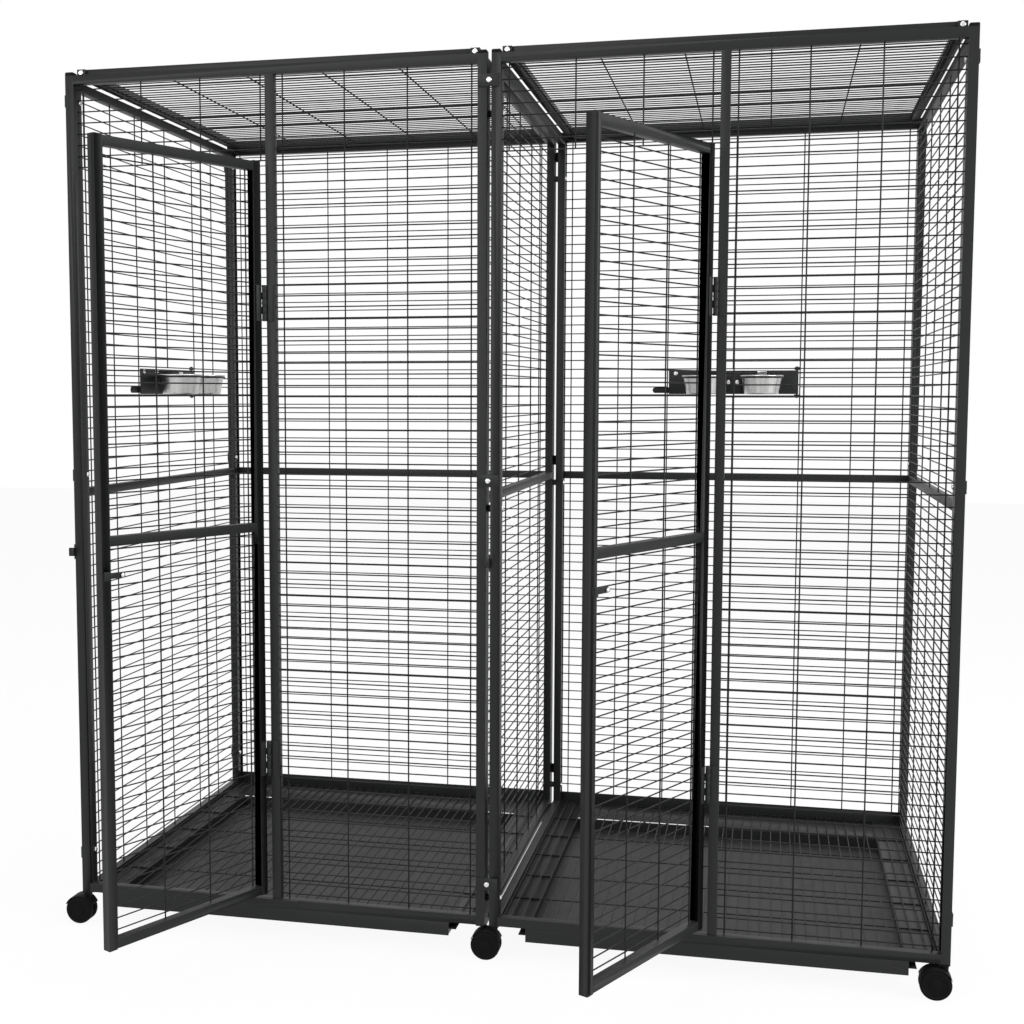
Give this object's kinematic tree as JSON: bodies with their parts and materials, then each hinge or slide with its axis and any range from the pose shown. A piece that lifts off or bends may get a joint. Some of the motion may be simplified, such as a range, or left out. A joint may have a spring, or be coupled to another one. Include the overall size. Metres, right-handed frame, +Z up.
{
  "type": "bird aviary",
  "caption": "Tall two-bay bird aviary of dark wire panels on castors, with outward doors, swing-out bowl feeders and slide-out floor trays.",
  "frame": {"origin": "on the floor, below the middle of the frame's width and depth", "axes": "+Z up, +Y from the doors to the back, +X to the right seen from the front"},
  "size_m": [2.0175, 1.4432, 2.004],
  "materials": {
    "coated_steel": "satin",
    "coated_wire": "satin",
    "stainless": "brushed",
    "plated_steel": "satin",
    "black_plastic": "matte",
    "castor_wheel": "matte"
  },
  "bodies": {
    "frame": {"clamp_bolts": "plated_steel", "clamp_plates": "coated_steel", "feeder_eyes": "coated_steel", "keepers": "coated_steel", "left_back_frame": "coated_steel", "left_back_net": "coated_wire", "left_floor_grate": "coated_wire", "left_floor_pan": "coated_steel", "left_front_frame": "coated_steel", "left_front_net": "coated_wire", "left_roof_frame": "coated_steel", "left_roof_net": "coated_wire", "left_side_frame": "coated_steel", "left_side_net": "coated_wire", "open_side_frame": "coated_steel", "partition_frame": "coated_steel", "partition_net": "coated_wire", "post_caps": "black_plastic", "post_hinge_leaves": "coated_steel", "right_back_frame": "coated_steel", "right_back_net": "coated_wire", "right_floor_grate": "coated_wire", "right_floor_pan": "coated_steel", "right_front_frame": "coated_steel", "right_front_net": "coated_wire", "right_roof_frame": "coated_steel", "right_roof_net": "coated_wire", "right_side_frame": "coated_steel", "right_side_net": "coated_wire"},
    "castor_front_left_fork_body": {"castor_front_left_fork": "black_plastic"},
    "castor_front_left_wheels_body": {"castor_front_left_wheels": "castor_wheel"},
    "castor_front_middle_fork_body": {"castor_front_middle_fork": "black_plastic"},
    "castor_front_middle_wheels_body": {"castor_front_middle_wheels": "castor_wheel"},
    "castor_front_right_fork_body": {"castor_front_right_fork": "black_plastic"},
    "castor_front_right_wheels_body": {"castor_front_right_wheels": "castor_wheel"},
    "castor_rear_left_fork_body": {"castor_rear_left_fork": "black_plastic"},
    "castor_rear_left_wheels_body": {"castor_rear_left_wheels": "castor_wheel"},
    "castor_rear_middle_fork_body": {"castor_rear_middle_fork": "black_plastic"},
    "castor_rear_middle_wheels_body": {"castor_rear_middle_wheels": "castor_wheel"},
    "castor_rear_right_fork_body": {"castor_rear_right_fork": "black_plastic"},
    "castor_rear_right_wheels_body": {"castor_rear_right_wheels": "castor_wheel"},
    "left_bowl_a_body": {"left_bowl_a": "stainless"},
    "left_bowl_b_body": {"left_bowl_b": "stainless"},
    "left_door": {"left_door_frame": "coated_steel", "left_door_hinge_leaves": "coated_steel", "left_door_net": "coated_wire"},
    "left_door_bolt": {"left_door_latch": "plated_steel"},
    "left_feeder": {"left_feeder_hatch": "coated_steel"},
    "left_lever": {"left_feeder_lever": "coated_steel"},
    "left_tray_body": {"left_tray": "coated_steel"},
    "right_bowl_a_body": {"right_bowl_a": "stainless"},
    "right_bowl_b_body": {"right_bowl_b": "stainless"},
    "right_door": {"right_door_frame": "coated_steel", "right_door_hinge_leaves": "coated_steel", "right_door_net": "coated_wire"},
    "right_door_bolt": {"right_door_latch": "plated_steel"},
    "right_feeder": {"right_feeder_hatch": "coated_steel"},
    "right_lever": {"right_feeder_lever": "coated_steel"},
    "right_tray_body": {"right_tray": "coated_steel"}
  },
  "joints": [
    {"name": "left_door_hinge", "type": "hinge", "parent": "frame", "child": "left_door", "pos_m": [-0.508, -0.516, 0.949], "axis": [0, 0, 1], "range_deg": [-64, 106]},
    {"name": "left_bolt_slide", "type": "slide", "parent": "left_door", "child": "left_door_bolt", "axis": [-0.4384, -0.8988, 0], "range_m": [0, 0.028]},
    {"name": "left_tray_slide", "type": "slide", "parent": "frame", "child": "left_tray_body", "axis": [0, -1, 0], "range_m": [0, 0.7]},
    {"name": "left_feeder_hinge", "type": "hinge", "parent": "frame", "child": "left_feeder", "pos_m": [-0.974, 0.172, 1.2965], "axis": [0, 0, -1], "range_deg": [0, 100]},
    {"name": "left_lever_turn", "type": "hinge", "parent": "left_feeder", "child": "left_lever", "pos_m": [-0.965, -0.157, 1.275], "axis": [-1, 0, 0], "range_deg": [0, 90]},
    {"name": "left_bowl_a_lift", "type": "slide", "parent": "left_feeder", "child": "left_bowl_a_body", "axis": [0, 0, 1], "range_m": [0, 0.06]},
    {"name": "left_bowl_b_lift", "type": "slide", "parent": "left_feeder", "child": "left_bowl_b_body", "axis": [0, 0, 1], "range_m": [0, 0.06]},
    {"name": "right_door_hinge", "type": "hinge", "parent": "frame", "child": "right_door", "pos_m": [0.482, -0.516, 0.949], "axis": [0, 0, 1], "range_deg": [-64, 106]},
    {"name": "right_bolt_slide", "type": "slide", "parent": "right_door", "child": "right_door_bolt", "axis": [-0.4384, -0.8988, 0], "range_m": [0, 0.028]},
    {"name": "right_tray_slide", "type": "slide", "parent": "frame", "child": "right_tray_body", "axis": [0, -1, 0], "range_m": [0, 0.7]},
    {"name": "right_feeder_hinge", "type": "hinge", "parent": "frame", "child": "right_feeder", "pos_m": [0.667, 0.499, 1.2965], "axis": [0, 0, -1], "range_deg": [0, 100]},
    {"name": "right_lever_turn", "type": "hinge", "parent": "right_feeder", "child": "right_lever", "pos_m": [0.338, 0.49, 1.275], "axis": [0, 1, 0], "range_deg": [0, 90]},
    {"name": "right_bowl_a_lift", "type": "slide", "parent": "right_feeder", "child": "right_bowl_a_body", "axis": [0, 0, 1], "range_m": [0, 0.06]},
    {"name": "right_bowl_b_lift", "type": "slide", "parent": "right_feeder", "child": "right_bowl_b_body", "axis": [0, 0, 1], "range_m": [0, 0.06]},
    {"name": "castor_front_left_swivel", "type": "hinge", "parent": "frame", "child": "castor_front_left_fork_body", "pos_m": [-0.975, -0.5, 0.07], "axis": [0, 0, 1], "continuous": true},
    {"name": "castor_front_left_roll", "type": "hinge", "parent": "castor_front_left_fork_body", "child": "castor_front_left_wheels_body", "pos_m": [-0.993, -0.5, 0.033], "axis": [0, 1, 0], "continuous": true},
    {"name": "castor_front_middle_swivel", "type": "hinge", "parent": "frame", "child": "castor_front_middle_fork_body", "pos_m": [0.015, -0.5, 0.07], "axis": [0, 0, 1], "continuous": true},
    {"name": "castor_front_middle_roll", "type": "hinge", "parent": "castor_front_middle_fork_body", "child": "castor_front_middle_wheels_body", "pos_m": [-0.003, -0.5, 0.033], "axis": [0, 1, 0], "continuous": true},
    {"name": "castor_front_right_swivel", "type": "hinge", "parent": "frame", "child": "castor_front_right_fork_body", "pos_m": [0.975, -0.5, 0.07], "axis": [0, 0, 1], "continuous": true},
    {"name": "castor_front_right_roll", "type": "hinge", "parent": "castor_front_right_fork_body", "child": "castor_front_right_wheels_body", "pos_m": [0.957, -0.5, 0.033], "axis": [0, 1, 0], "continuous": true},
    {"name": "castor_rear_left_swivel", "type": "hinge", "parent": "frame", "child": "castor_rear_left_fork_body", "pos_m": [-0.975, 0.5, 0.07], "axis": [0, 0, 1], "continuous": true},
    {"name": "castor_rear_left_roll", "type": "hinge", "parent": "castor_rear_left_fork_body", "child": "castor_rear_left_wheels_body", "pos_m": [-0.993, 0.5, 0.033], "axis": [0, 1, 0], "continuous": true},
    {"name": "castor_rear_middle_swivel", "type": "hinge", "parent": "frame", "child": "castor_rear_middle_fork_body", "pos_m": [0.015, 0.5, 0.07], "axis": [0, 0, 1], "continuous": true},
    {"name": "castor_rear_middle_roll", "type": "hinge", "parent": "castor_rear_middle_fork_body", "child": "castor_rear_middle_wheels_body", "pos_m": [-0.003, 0.5, 0.033], "axis": [0, 1, 0], "continuous": true},
    {"name": "castor_rear_right_swivel", "type": "hinge", "parent": "frame", "child": "castor_rear_right_fork_body", "pos_m": [0.975, 0.5, 0.07], "axis": [0, 0, 1], "continuous": true},
    {"name": "castor_rear_right_roll", "type": "hinge", "parent": "castor_rear_right_fork_body", "child": "castor_rear_right_wheels_body", "pos_m": [0.957, 0.5, 0.033], "axis": [0, 1, 0], "continuous": true}
  ]
}
